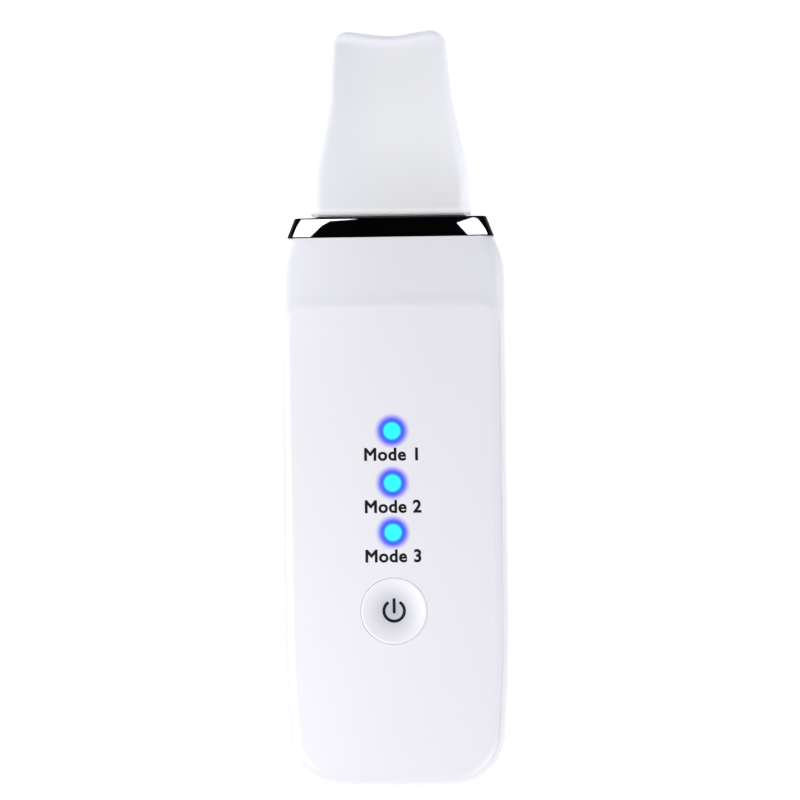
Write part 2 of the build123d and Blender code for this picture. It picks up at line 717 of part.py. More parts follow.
board_screws = screws(BOARD_SCREWS, BOARD_SCREW, UPPER_SCREW_TIP_Z, BOARD_BOTTOM - TOUCH, BOARD_HEAD)
finish(board_screws, "board_screws")

CHIP_CORNER = 0.3
TOP_PARTS = {
    "controller_chip": ((5.0, 7.5, 1.6), [(-10.5, -27.0)]),
    "driver_transistors": ((6.2, 6.6, 2.3), [(12.0, -10.0), (12.0, -19.5)]),
    "transformer_core": ((9.0, 4.0, 5.4), [(-11.5, -10.5), (-11.5, -17.5)]),
}
for name, (size, spots) in TOP_PARTS.items():
    with BuildPart() as chip:
        add(block(size, spots, BOARD_TOP))
        fillet(chip.edges().filter_by(Axis.Z), CHIP_CORNER)
    finish(chip, name)

WINDING_FOOT = (-11.5, -15.5 + TOUCH, BOARD_TOP + 2.7)
WINDING_RADIUS = 2.6
WINDING_LENGTH = 3.0 - 2 * TOUCH
with BuildPart() as transformer_winding:
    with BuildSketch(Plane(origin=WINDING_FOOT, x_dir=(1, 0, 0), z_dir=(0, 1, 0))):
        Circle(WINDING_RADIUS)
    extrude(amount=WINDING_LENGTH)
finish(transformer_winding, "transformer_winding")

CAPACITOR_SPOTS = [(13.4, -27.5), (13.4, -34.0)]
CAPACITOR_RADIUS = 2.5
CAPACITOR_HEIGHT = 5.2
with BuildPart() as board_capacitors:
    add(pin(CAPACITOR_RADIUS, BOARD_TOP, BOARD_TOP + CAPACITOR_HEIGHT, CAPACITOR_SPOTS))
    fillet(board_capacitors.faces().group_by(Axis.Z)[-1].edges(), 0.4)
finish(board_capacitors, "board_capacitors")

RESISTOR_ROWS = [(-15.0, -37.0), (13.5, -52.0), (-13.5, -52.0)]
RESISTOR_SIZE = (2.0, 1.2, 0.55)
RESISTOR_PITCH = 2.4
RESISTORS_PER_ROW = 4
with BuildPart() as board_resistors:
    with Locations(*[(x, y, BOARD_TOP) for x, y in RESISTOR_ROWS]):
        with GridLocations(0, RESISTOR_PITCH, 1, RESISTORS_PER_ROW):
            Box(*RESISTOR_SIZE, align=(Align.CENTER, Align.CENTER, Align.MIN))
finish(board_resistors, "board_resistors")

# ---------------------------------------------------------------- mode lights
pipe_flange_top = INNER_TOP - TOUCH
pipe_flange_foot = pipe_flange_top - LIGHT_FLANGE_THICKNESS
for place, y in LIGHT_YS.items():
    with BuildPart() as led:
        add(block(LED_SIZE, [(0, y)], BOARD_TOP))
        fillet(led.edges().filter_by(Axis.Z), 0.25)
    finish(led, f"led_{place}")
    with BuildPart() as light_pipe:
        add(pin(LIGHT_STEM_RADIUS, BOARD_TOP + LED_SIZE[2] + LED_GAP, pipe_flange_foot, [(0, y)]))
        add(pin(LIGHT_FLANGE_RADIUS, pipe_flange_foot, pipe_flange_top, [(0, y)]))
        add(pin(LIGHT_RADIUS, pipe_flange_foot, THICKNESS, [(0, y)]))
        fillet(light_pipe.faces().sort_by(Axis.Z)[-1].edges(), LIGHT_RIM)
    finish(light_pipe, f"light_pipe_{place}")

with BuildPart() as light_baffle:
    low_y = min(LIGHT_YS.values()) - BAFFLE_HALF_WIDTH
    high_y = max(LIGHT_YS.values()) + BAFFLE_HALF_WIDTH
    size = (2 * BAFFLE_HALF_WIDTH, high_y - low_y, pipe_flange_foot - TOUCH - BOARD_TOP)
    add(block(size, [(0, (low_y + high_y) / 2)], BOARD_TOP))
    fillet(light_baffle.edges().filter_by(Axis.Z), 1.0)
    add(pin(BAFFLE_BORE_RADIUS, BOARD_TOP, THICKNESS, light_spots), mode=Mode.SUBTRACT)
finish(light_baffle, "light_baffle")

# ---------------------------------------------------------------- power button and its switch
flange_top_z = INNER_TOP - 2 * TOUCH
flange_foot_z = flange_top_z - BUTTON_FLANGE_THICKNESS
with BuildPart() as power_button:
    add(pin(BUTTON_RADIUS, flange_foot_z, THICKNESS, button_spot))
    fillet(power_button.faces().sort_by(Axis.Z)[-1].edges(), BUTTON_RIM)
    dish = (DISH_RADIUS**2 + DISH_DEPTH**2) / (2 * DISH_DEPTH)
    with Locations((0, BUTTON_Y, THICKNESS - DISH_DEPTH + dish)):
        Sphere(dish, mode=Mode.SUBTRACT)
    add(pin(BUTTON_FLANGE_RADIUS, flange_foot_z, flange_top_z, button_spot))
    hollow_top = THICKNESS - DISH_DEPTH - BUTTON_ROOF
    add(pin(BUTTON_RADIUS - BUTTON_WALL, flange_foot_z - 1, hollow_top, button_spot), mode=Mode.SUBTRACT)
    add(pin(BUTTON_POST_RADIUS, PLUNGER_TOP_Z + TOUCH, hollow_top + RIB_ROOT, button_spot))
    for turn in (0, 90):
        with BuildSketch(Plane.XY.offset(flange_foot_z)):
            with Locations((0, BUTTON_Y)):
                Rectangle(2 * BUTTON_RADIUS - 1, BUTTON_RIB, rotation=turn)
        extrude(amount=hollow_top + RIB_ROOT - flange_foot_z)
finish(power_button, "power_button")

switch_top = BOARD_TOP + SWITCH_HEIGHT
cavity_floor = BOARD_TOP + SWITCH_CAVITY_FLOOR
with BuildPart() as switch_base:
    add(block((SWITCH_SIZE, SWITCH_SIZE, SWITCH_HEIGHT), button_spot, BOARD_TOP))
    fillet(switch_base.edges().filter_by(Axis.Z), SWITCH_CORNER)
    add(pin(SWITCH_CAVITY_RADIUS, cavity_floor, switch_top + 1, button_spot), mode=Mode.SUBTRACT)
finish(switch_base, "switch_base")

with BuildPart() as switch_cover:
    add(block((COVER_SIZE, COVER_SIZE, COVER_THICKNESS), button_spot, switch_top))
    fillet(switch_cover.edges().filter_by(Axis.Z), SWITCH_CORNER)
    add(pin(PLUNGER_RADIUS + PLUNGER_GAP, switch_top - 1, switch_top + 1, button_spot), mode=Mode.SUBTRACT)
finish(switch_cover, "switch_cover")

with BuildPart() as switch_plunger:
    plunger_foot = switch_top - PLUNGER_FLANGE_THICKNESS - TOUCH
    add(pin(PLUNGER_RADIUS, plunger_foot, PLUNGER_TOP_Z, button_spot))
    fillet(switch_plunger.faces().sort_by(Axis.Z)[-1].edges(), 0.2)
    add(pin(PLUNGER_FLANGE_RADIUS, plunger_foot, switch_top - TOUCH, button_spot))
finish(switch_plunger, "switch_plunger")

with BuildPart() as switch_dome:
    dome_rise = plunger_foot - cavity_floor - DOME_THICKNESS - 2 * TOUCH
    edge_x = SWITCH_CAVITY_RADIUS - 0.1
    with BuildSketch(Plane.XZ.offset(-BUTTON_Y)):
        with BuildLine():
            low = ThreePointArc(
                (-edge_x, cavity_floor + TOUCH),
                (0, cavity_floor + TOUCH + dome_rise),
                (edge_x, cavity_floor + TOUCH),
            )
            high = ThreePointArc(
                (-edge_x, cavity_floor + TOUCH + DOME_THICKNESS),
                (0, cavity_floor + TOUCH + dome_rise + DOME_THICKNESS),
                (edge_x, cavity_floor + TOUCH + DOME_THICKNESS),
            )
            Line(low @ 0, high @ 0)
            Line(low @ 1, high @ 1)
        make_face()
        with Locations((0, cavity_floor)):
            Rectangle(10, 10, align=(Align.MAX, Align.CENTER), mode=Mode.SUBTRACT)
    revolve(axis=Axis((0, BUTTON_Y, 0), (0, 0, 1)))
finish(switch_dome, "switch_dome")

# ---------------------------------------------------------------- charging socket
with BuildPart() as socket_shell:
    add(socket_slot(0, SOCKET_LENGTH, SOCKET_MOUTH_Y))
    add(socket_slot(-SOCKET_SKIN, SOCKET_LENGTH + 1, SOCKET_MOUTH_Y - 1), mode=Mode.SUBTRACT)
finish(socket_shell, "socket_shell")

socket_back_y = SOCKET_MOUTH_Y + SOCKET_LENGTH
tongue_y = SOCKET_MOUTH_Y + TONGUE_SETBACK
with BuildPart() as socket_insert:
    add(socket_slot(-SOCKET_SKIN - TOUCH, SOCKET_BLOCK, socket_back_y - SOCKET_BLOCK))
    with Locations((0, tongue_y, SOCKET_Z)):
        Box(
            2 * TONGUE_HALF_WIDTH,
            socket_back_y - tongue_y - 0.2,
            TONGUE_THICKNESS,
            align=(Align.CENTER, Align.MIN, Align.CENTER),
        )
finish(socket_insert, "socket_insert")

with BuildPart() as socket_contacts:
    for side in (-1, 1):
        level = SOCKET_Z + side * (TONGUE_THICKNESS + CONTACT_SIZE[2]) / 2
        with Locations((0, tongue_y + CONTACT_SETBACK, level)):
            with GridLocations(CONTACT_PITCH, 0, CONTACTS_PER_SIDE, 1):
                Box(*CONTACT_SIZE)
finish(socket_contacts, "socket_contacts")

# ---------------------------------------------------------------- battery
cell_length = CELL_TOP_Y - CELL_FOOT_Y
cell_middle = (0, (CELL_TOP_Y + CELL_FOOT_Y) / 2)
cell_pad = (2 * CELL_HALF_WIDTH - 4, cell_length - 6, CELL_Z - WALL - 2 * TOUCH)
with BuildPart() as battery_pad:
    add(block(cell_pad, [cell_middle], WALL + TOUCH))
finish(battery_pad, "battery_pad")

with BuildPart() as battery_cell:
    add(block((2 * CELL_HALF_WIDTH, cell_length, CELL_THICKNESS), [cell_middle], CELL_Z))
    fillet(battery_cell.edges().filter_by(Axis.Y), 1.5)
    fillet(battery_cell.edges().filter_by(Axis.Z), 0.6)
finish(battery_cell, "battery_cell")

circuit_y = CELL_TOP_Y + TOUCH + CELL_CIRCUIT_DEPTH / 2
with BuildPart() as battery_circuit:
    circuit_size = (2 * CELL_HALF_WIDTH - 3, CELL_CIRCUIT_DEPTH, CELL_CIRCUIT_THICKNESS)
    add(block(circuit_size, [(0, circuit_y)], CELL_CIRCUIT_Z))
finish(battery_circuit, "battery_circuit")

HEADER = (7.0, 0.8)
HEADER_SIZE = (7.4, 4.6, 3.6)
PLUG_SIZE = (6.2, 3.4, 2.6)
header_foot_z = BOARD_BOTTOM - HEADER_SIZE[2]
plug_y = HEADER[1] - HEADER_SIZE[1] / 2 - PLUG_SIZE[1] / 2 + 1.6
plug_z = header_foot_z + (HEADER_SIZE[2] - PLUG_SIZE[2]) / 2
with BuildPart() as battery_header:
    add(block(HEADER_SIZE, [HEADER], header_foot_z))
    pocket = (PLUG_SIZE[0] + 0.1, PLUG_SIZE[1] + 0.1, PLUG_SIZE[2] + 0.1)
    add(block(pocket, [(HEADER[0], plug_y)], plug_z - 0.05), mode=Mode.SUBTRACT)
finish(battery_header, "battery_header")

with BuildPart() as battery_plug:
    add(block(PLUG_SIZE, [(HEADER[0], plug_y)], plug_z))
    fillet(battery_plug.edges().filter_by(Axis.Y), 0.3)
finish(battery_plug, "battery_plug")

# ---------------------------------------------------------------- wiring held inside the case
plug_back_y = plug_y - PLUG_SIZE[1] / 2 - TOUCH
plug_mid_z = plug_z + PLUG_SIZE[2] / 2
circuit_edge_y = circuit_y + CELL_CIRCUIT_DEPTH / 2 + TOUCH
for name, start_x, end_x in (("battery_lead_red", 3.4, 8.2), ("battery_lead_black", 1.0, 5.8)):
    wire = lead(
        [
            (start_x, circuit_edge_y, CELL_LEAD_Z),
            (start_x, circuit_edge_y + LEAD_STUB, CELL_LEAD_Z),
            (end_x, plug_back_y - LEAD_STUB, plug_mid_z),
            (end_x, plug_back_y, plug_mid_z),
        ],
        bend=0.7,
    )
    finish(wire, name)

wire_z = piezo_z + PIEZO_THICKNESS + PIEZO_FILM + TOUCH + LEAD_RADIUS
for name, x in (("piezo_lead_red", -2.0), ("piezo_lead_white", 2.0)):
    wire = lead(
        [
            (x, PIEZO_Y - 3.5, wire_z),
            (x, BOARD_TOP_Y + 1.0, wire_z),
            (x, BOARD_TOP_Y - 2.5, BOARD_TOP + SOLDER_RISE),
            (x, BOARD_TOP_Y - 2.5, BOARD_TOP + TOUCH),
        ],
        bend=0.8,
    )
    finish(wire, name)
blade_lead_z = upper + LEAD_RADIUS + TOUCH
blade_lead = lead(
    [
        (BLADE_LEAD_X, BLADE_ROOT_Y + 2.5, blade_lead_z),
        (BLADE_LEAD_X, BOARD_TOP_Y - 2.2, blade_lead_z),
        (BLADE_LEAD_X, BOARD_TOP_Y - 2.2, BOARD_TOP + TOUCH),
    ],
    bend=0.5,
)
finish(blade_lead, "blade_lead")

# ---------------------------------------------------------------- hand electrode on the back
with BuildPart() as hand_electrode:
    with BuildSketch(Plane.XY.offset(ELECTRODE_SUNK)):
        with Locations((0, electrode_middle)):
            SlotOverall(ELECTRODE_TOP_Y - ELECTRODE_FOOT_Y, 2 * ELECTRODE_HALF_WIDTH, rotation=90)
    extrude(amount=ELECTRODE_THICKNESS)
    fillet(hand_electrode.faces().sort_by(Axis.Z)[0].edges(), ELECTRODE_EDGE)
    add(pin(STUD_RADIUS, ELECTRODE_SUNK + 0.3, STUD_TOP_Z, [(0, STUD_Y)]))
finish(hand_electrode, "hand_electrode")

spring_foot = STUD_TOP_Z + SPRING_WIRE + TOUCH
spring_height = BOARD_BOTTOM - SPRING_WIRE - TOUCH - spring_foot
with BuildPart() as contact_spring:
    with BuildLine(Plane.XY.offset(spring_foot)) as coil:
        with Locations((0, STUD_Y)):
            Helix(spring_height / SPRING_TURNS, spring_height, SPRING_RADIUS)
    with BuildSketch(coil.line ^ 0):
        Circle(SPRING_WIRE)
    sweep()
finish(contact_spring, "contact_spring")

box = Compound(children=list(PARTS.values())).bounding_box()
print(len(PARTS), "pieces", box)
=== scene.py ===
"""Looks of a white ultrasonic skin scrubber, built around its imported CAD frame.

The device lies on its back and the camera looks down on its front face, as in a catalogue picture.
Every size is in metres, in the frame of the CAD model.
"""

import json
import math

import bpy
from mathutils import Matrix, Vector


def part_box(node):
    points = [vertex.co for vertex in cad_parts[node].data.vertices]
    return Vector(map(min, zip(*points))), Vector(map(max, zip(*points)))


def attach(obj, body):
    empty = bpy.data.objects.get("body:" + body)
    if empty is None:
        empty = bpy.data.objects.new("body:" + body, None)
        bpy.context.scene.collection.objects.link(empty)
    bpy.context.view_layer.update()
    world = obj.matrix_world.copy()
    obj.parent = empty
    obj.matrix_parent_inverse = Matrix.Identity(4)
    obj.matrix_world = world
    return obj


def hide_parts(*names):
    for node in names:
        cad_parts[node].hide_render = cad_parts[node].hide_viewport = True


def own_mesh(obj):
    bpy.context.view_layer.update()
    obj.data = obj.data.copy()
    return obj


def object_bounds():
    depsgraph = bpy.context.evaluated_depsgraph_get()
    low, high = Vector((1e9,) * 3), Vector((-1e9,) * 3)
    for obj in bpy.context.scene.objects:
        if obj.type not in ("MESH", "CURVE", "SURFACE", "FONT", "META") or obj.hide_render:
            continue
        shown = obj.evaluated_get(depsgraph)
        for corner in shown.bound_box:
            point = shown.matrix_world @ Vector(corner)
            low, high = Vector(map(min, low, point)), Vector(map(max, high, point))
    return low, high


MM = 0.001
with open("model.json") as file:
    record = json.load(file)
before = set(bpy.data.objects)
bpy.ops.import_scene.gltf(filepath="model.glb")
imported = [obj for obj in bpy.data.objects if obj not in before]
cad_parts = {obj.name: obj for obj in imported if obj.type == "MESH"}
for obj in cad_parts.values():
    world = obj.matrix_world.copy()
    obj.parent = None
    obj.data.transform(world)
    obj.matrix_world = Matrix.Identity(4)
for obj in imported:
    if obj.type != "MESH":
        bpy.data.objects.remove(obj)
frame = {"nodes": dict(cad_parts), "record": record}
cad_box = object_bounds()
nodes = frame["nodes"]


def lowest(node):
    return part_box(node)[0]


def highest(node):
    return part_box(node)[1]


def middle(node):
    low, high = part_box(node)
    return (low + high) / 2


# ---------------------------------------------------------------- places read from the frame
FRONT_Z = highest("front_shell").z
PIPE_FLANGE = 0.7 * MM
LENS_RADIUS = (highest("light_pipe_top").x - lowest("light_pipe_top").x) / 2 - PIPE_FLANGE
LENSES = [middle("light_pipe_" + place) for place in ("top", "middle", "bottom")]
BUTTON = middle("power_button")
DISH_RADIUS = 6.7 * MM
DISH_DEPTH = 0.5 * MM
CAP_FOOT_Y = lowest("blade_cap").y
CAP_TIP_Y = highest("blade_cap").y


# ---------------------------------------------------------------- node-tree helpers
class Tree:
    """A small builder around one material's node tree."""

    def __init__(self, name):
        self.material = bpy.data.materials.new(name)
        self.material.use_nodes = True
        self.tree = self.material.node_tree
        self.shader = self.tree.nodes["Principled BSDF"]
        self.place = self.tree.nodes.new("ShaderNodeTexCoord").outputs["Object"]

    def node(self, kind, **settings):
        made = self.tree.nodes.new("ShaderNode" + kind)
        for key, value in settings.items():
            setattr(made, key, value)
        return made

    def join(self, source, target):
        self.tree.links.new(source, target)

    def noise(self, scale, detail=3.0, stretch=None):
        texture = self.node("TexNoise")
        texture.inputs["Scale"].default_value = scale
        texture.inputs["Detail"].default_value = detail
        place = self.place
        if stretch:
            mapping = self.node("Mapping")
            mapping.inputs["Scale"].default_value = stretch
            self.join(place, mapping.inputs["Vector"])
            place = mapping.outputs["Vector"]
        self.join(place, texture.inputs["Vector"])
        return texture.outputs["Fac"]

    def ramp(self, value, low, high, low_out=0.0, high_out=1.0, smooth=True):
        """value from low..high mapped to low_out..high_out, clamped."""
        mapped = self.node("MapRange", interpolation_type="SMOOTHSTEP" if smooth else "LINEAR")
        for key, number in (("From Min", low), ("From Max", high), ("To Min", low_out), ("To Max", high_out)):
            mapped.inputs[key].default_value = number
        self.join(value, mapped.inputs["Value"])
        return mapped.outputs["Result"]

    def mix(self, factor, first, second):
        """A colour between two, each a colour or a socket."""
        mixed = self.node("Mix", data_type="RGBA")
        self.join(factor, mixed.inputs["Factor"])
        for key, colour in (("A", first), ("B", second)):
            socket = [s for s in mixed.inputs if s.name == key and s.type == "RGBA"][0]
            if isinstance(colour, tuple):
                socket.default_value = (*colour, 1.0)
            else:
                self.join(colour, socket)
        return [s for s in mixed.outputs if s.type == "RGBA"][0]

    def combine(self, operation, first, second):
        """The result of a sum on two sockets."""
        made = self.node("Math", operation=operation)
        self.join(first, made.inputs[0])
        self.join(second, made.inputs[1])
        return made.outputs[0]

    def axes(self):
        """The place's x, y and z, as the outputs of one node."""
        split = self.node("SeparateXYZ")
        self.join(self.place, split.inputs[0])
        return split.outputs

    def distance(self, centre):
        """The distance from an upright line through centre."""
        offset = self.node("VectorMath", operation="SUBTRACT")
        offset.inputs[1].default_value = centre
        self.join(self.place, offset.inputs[0])
        scaled = self.node("VectorMath", operation="MULTIPLY")
        scaled.inputs[1].default_value = (1, 1, 0)
        self.join(offset.outputs["Vector"], scaled.inputs[0])
        length = self.node("VectorMath", operation="LENGTH")
        self.join(scaled.outputs["Vector"], length.inputs[0])
        return length.outputs["Value"]

    def bump(self, height, distance, strength):
        bump = self.node("Bump")
        bump.inputs["Distance"].default_value = distance
        bump.inputs["Strength"].default_value = strength
        self.join(height, bump.inputs["Height"])
        self.join(bump.outputs["Normal"], self.shader.inputs["Normal"])

    def set(self, **values):
        """Constant values, each set on the shader's own socket."""
        for key, value in values.items():
            socket = self.shader.inputs[key.replace("_", " ")]
            socket.default_value = (*value, 1.0) if isinstance(value, tuple) else value


MOULD_GRAIN_SCALE = 5000.0
MOULD_GRAIN_DEPTH = 0.006 * MM


def moulded_plastic(name, colour, shade, roughness):
    """Plastic from a lightly sparked mould: fine grain, and a little unevenness in colour and gloss."""
    t = Tree(name)
    mottle = t.noise(90.0, detail=6.0)
    t.join(t.mix(t.ramp(mottle, 0.3, 0.7), colour, shade), t.shader.inputs["Base Color"])
    t.join(t.ramp(t.noise(220.0), 0.3, 0.7, roughness - 0.02, roughness + 0.02), t.shader.inputs["Roughness"])
    t.bump(t.noise(MOULD_GRAIN_SCALE, detail=2.0), MOULD_GRAIN_DEPTH, 0.5)
    return t


METAL_GRAIN_DEPTH = 0.004 * MM
UNBRUSHED = (1.0, 1.0, 1.0)
BRUSHED_ALONG_Y = (4.0, 0.15, 1.0)
DRAWN_ALONG_X = (1.0, 8.0, 1.0)


def metal(name, colour, roughness, brushed=UNBRUSHED, grain=METAL_GRAIN_DEPTH):
    """Bare metal with fine grain. brushed is the stretch of the noise along each axis."""
    t = Tree(name)
    grain_noise = t.noise(900.0, detail=4.0, stretch=brushed)
    dark = tuple(c * 0.88 for c in colour)
    t.join(t.mix(t.ramp(grain_noise, 0.3, 0.7), dark, colour), t.shader.inputs["Base Color"])
    t.join(t.ramp(grain_noise, 0.25, 0.75, roughness * 0.75, roughness * 1.3), t.shader.inputs["Roughness"])
    t.set(Metallic=1.0)
    t.bump(grain_noise, grain, 0.4)
    return t


# ---------------------------------------------------------------- materials of the outside
WHITE = (0.802, 0.794, 0.838)
WHITE_SHADE = (0.798, 0.790, 0.834)
PLASTIC_ROUGHNESS = 0.30
# Painted light: the halo colours put a blue glow and tint on the shell around each lens.
PAINTED_HALO_BLUE = (0.10, 0.10, 1.0)
PAINTED_HALO_TINT = (0.10, 0.09, 0.55)
PAINTED_HALO_WIDTH = 1.45 * MM
PAINTED_HALO_STRENGTH = 0.55
NO_GLOW = (0.0, 0.0, 0.0)


def shell_plastic(name):
    """White satin plastic, with a painted blue glow and tint around each lens that stands in for the lights'
    blue bleeding a little way into it.
    """
    t = moulded_plastic(name, WHITE, WHITE_SHADE, PLASTIC_ROUGHNESS)
    t.set(IOR=1.5)
    base = t.shader.inputs["Base Color"].links[0].from_socket
    glow = None
    # painted blue glow of the lights around each lens, on the front face only
    for lens in LENSES:
        ring = t.ramp(t.distance(lens), LENS_RADIUS * 0.97, LENS_RADIUS + PAINTED_HALO_WIDTH, 1.0, 0.0)
        glow = ring if glow is None else t.combine("MAXIMUM", glow, ring)
    front = t.ramp(t.axes()["Z"], FRONT_Z - 0.4 * MM, FRONT_Z - 0.1 * MM)
    painted_halo = t.combine("MULTIPLY", glow, front)
    t.join(t.mix(painted_halo, base, PAINTED_HALO_TINT), t.shader.inputs["Base Color"])
    t.join(t.mix(painted_halo, NO_GLOW, PAINTED_HALO_BLUE), t.shader.inputs["Emission Color"])
    t.shader.inputs["Emission Strength"].default_value = PAINTED_HALO_STRENGTH
    return t.material


# Painted shade for the dish, and painted light for the button's rim and the edge by its gap.
DISH_PAINTED_SHADE = (0.42, 0.42, 0.52)
BUTTON_RIM_PAINTED_LIGHT = (0.82, 0.82, 0.87)
BUTTON_EDGE_PAINTED_LIGHT = (0.97, 0.97, 0.98)


def button_plastic(name):
    """The shell's plastic, with painted shade greying the middle of the dish and painted light paling its rim
    and the edge by the gap.
    """
    t = moulded_plastic(name, WHITE, WHITE_SHADE, PLASTIC_ROUGHNESS)
    base = t.shader.inputs["Base Color"].links[0].from_socket
    away = t.distance(BUTTON)
    # painted shade deepening the dish, painted light on its rim and on the edge by the gap around the button
    dish = t.ramp(away, 0.5 * MM, 6.6 * MM, 0.74, 0.0)
    rim = t.ramp(away, 6.0 * MM, 6.9 * MM)
    edge = t.ramp(away, 6.92 * MM, 7.1 * MM)
    dish_shaded = t.mix(dish, base, DISH_PAINTED_SHADE)
    rim_lit = t.mix(rim, dish_shaded, BUTTON_RIM_PAINTED_LIGHT)
    t.join(t.mix(edge, rim_lit, BUTTON_EDGE_PAINTED_LIGHT), t.shader.inputs["Base Color"])
    return t.material


CAP_MILK = (0.975, 0.975, 0.985)
CAP_MILK_SHADE = (0.97, 0.97, 0.98)
# Painted shade and painted light of the cap: greys for the foot and the left side, a paler band colour, and
# glows of its own.
CAP_FOOT_PAINTED_SHADE = (0.82, 0.82, 0.83)
CAP_LEFT_PAINTED_SHADE = (0.86, 0.87, 0.90)
CAP_BAND_PAINTED_LIGHT = (0.92, 0.92, 0.94)
CAP_PAINTED_GLOW = (0.056, 0.057, 0.061)
CAP_BAND_PAINTED_GLOW = (0.12, 0.12, 0.14)
CAP_MOUTH_PAINTED_GLOW = (0.29, 0.285, 0.285)
CAP_MOUTH_WIDTH = 1.5 * MM
BAND_FOOT_X = 15.4 * MM
BAND_TIP_X = 12.1 * MM
BAND_BLUR = 0.7 * MM
SCOOP_HALF_WIDTH = 10 * MM
SCOOP_DEPTH = 1.4 * MM


def middle_shade_mask(t, x, along):
    """1 over the middle of the cap, and 0 in the bands along its sides and its scooped tip: it places the
    painted shade of the middle and the painted light of the bands.
    """
    across = t.node("Math", operation="ABSOLUTE")
    t.join(x, across.inputs[0])
    across = across.outputs[0]
    narrowing = (CAP_FOOT_Y + 8 * MM, CAP_FOOT_Y + 24 * MM)
    reach = t.ramp(along, *narrowing, BAND_FOOT_X, BAND_TIP_X, smooth=False)
    sides = t.ramp(t.combine("SUBTRACT", reach, across), -BAND_BLUR, BAND_BLUR)
    squared = t.combine("MULTIPLY", across, across)
    scoop = t.ramp(squared, 0.0, SCOOP_HALF_WIDTH**2, 0.0, SCOOP_DEPTH, smooth=False)
    level = t.combine("SUBTRACT", along, scoop)
    tip = t.ramp(level, CAP_TIP_Y - 4.4 * MM, CAP_TIP_Y - 3.0 * MM, 1.0, 0.0)
    return t.combine("MULTIPLY", sides, tip)


def frosted_cap(name):
    """Frosted polypropylene over the blade, with painted light and shade: painted shade greys the middle, the
    foot and the left side, painted light pales the sides, tip and mouth, and a painted glow of its own stands
    in for light coming through the walls.
    """
    t = moulded_plastic(name, CAP_MILK, CAP_MILK_SHADE, 0.45)
    base = t.shader.inputs["Base Color"].links[0].from_socket
    axes = t.axes()
    along = axes["Y"]
    # painted shade: darker towards the mouth and towards the left side
    foot_shade = t.ramp(along, CAP_FOOT_Y, CAP_FOOT_Y + 20 * MM, 0.8, 0.0)
    left = t.ramp(axes["X"], -15 * MM, 2 * MM, 0.8, 0.0)
    shaded = t.mix(foot_shade, base, CAP_FOOT_PAINTED_SHADE)
    shaded = t.mix(left, shaded, CAP_LEFT_PAINTED_SHADE)
    # painted shade over the middle and painted light in the bands along the sides and tip, not the blade seen
    # through the cap
    shaded_middle = middle_shade_mask(t, axes["X"], along)
    t.join(t.mix(shaded_middle, CAP_BAND_PAINTED_LIGHT, shaded), t.shader.inputs["Base Color"])
    t.set(Transmission_Weight=0.3, IOR=1.45)
    # painted glow: the cap gives off light of its own, brighter in the bands and along the mouth
    glow = t.mix(shaded_middle, CAP_BAND_PAINTED_GLOW, CAP_PAINTED_GLOW)
    mouth = t.ramp(along, CAP_FOOT_Y, CAP_FOOT_Y + CAP_MOUTH_WIDTH, 1.0, 0.0)
    t.join(t.mix(mouth, glow, CAP_MOUTH_PAINTED_GLOW), t.shader.inputs["Emission Color"])
    t.shader.inputs["Emission Strength"].default_value = 1.0
    return t.material


def black_chrome(name):
    """Black chrome plating: nearly a mirror, with a trace of haze."""
    t = Tree(name)
    haze = t.noise(40.0)
    t.join(t.mix(haze, (0.012, 0.012, 0.013), (0.014, 0.014, 0.015)), t.shader.inputs["Base Color"])
    t.join(t.ramp(haze, 0.3, 0.7, 0.004, 0.008), t.shader.inputs["Roughness"])
    t.set(Metallic=1.0)
    return t.material


LENS_CYAN = (0.015, 1.0, 1.0)
LENS_BLUE = (0.035, 0.14, 0.85)
LENS_EDGE_BLUE = (0.07, 0.12, 0.88)


def lit_lens(name, centre):
    """A light pipe's end: cyan where the LED shines straight up, blue towards its edge."""
    t = Tree(name)
    away = t.distance(centre)
    core = t.ramp(away, 1.5 * MM, 2.15 * MM)
    edge = t.ramp(away, 2.2 * MM, 2.65 * MM)
    inner = t.mix(core, LENS_CYAN, LENS_BLUE)
    t.join(t.mix(edge, inner, LENS_EDGE_BLUE), t.shader.inputs["Emission Color"])
    t.join(t.mix(core, (0.0, 0.03, 0.03), (0.0, 0.0, 0.02)), t.shader.inputs["Base Color"])
    t.shader.inputs["Emission Strength"].default_value = 1.0
    t.join(t.ramp(t.noise(300.0), 0.3, 0.7, 0.30, 0.36), t.shader.inputs["Roughness"])
    return t.material


def printed_ink(name):
    """Matt black pad-printing ink."""
    t = Tree(name)
    t.join(t.mix(t.noise(900.0), (0.003, 0.003, 0.004), (0.006, 0.006, 0.007)), t.shader.inputs["Base Color"])
    t.join(t.ramp(t.noise(2500.0), 0.3, 0.7, 0.5, 0.6), t.shader.inputs["Roughness"])
    t.set(Specular_IOR_Level=0.15)
    return t.material


# ---------------------------------------------------------------- materials by slot
SLOT_MATERIALS = {
    "shell_white": shell_plastic("shell_plastic"),
    "button_white": button_plastic("button_plastic"),
    "cap_frosted": frosted_cap("cap_frosted"),
    "collar_chrome": black_chrome("black_chrome"),
    "blade_steel": metal("blade_steel", (0.80, 0.80, 0.82), 0.36, BRUSHED_ALONG_Y).material,
    "electrode_steel": metal("electrode_steel", (0.80, 0.80, 0.81), 0.24, BRUSHED_ALONG_Y).material,
    "steel": metal("bright_steel", (0.62, 0.62, 0.63), 0.28).material,
    "silver_film": metal("silver_film", (0.82, 0.82, 0.80), 0.35).material,
    "copper": metal("copper_wire", (0.80, 0.36, 0.16), 0.32, DRAWN_ALONG_X).material,
    "contact_gold": metal("contact_gold", (0.85, 0.62, 0.26), 0.22).material,
    "capacitor": metal("capacitor_can", (0.68, 0.70, 0.74), 0.30).material,
    "cell_foil": metal("cell_foil", (0.70, 0.71, 0.73), 0.42, grain=0.02 * MM).material,
}
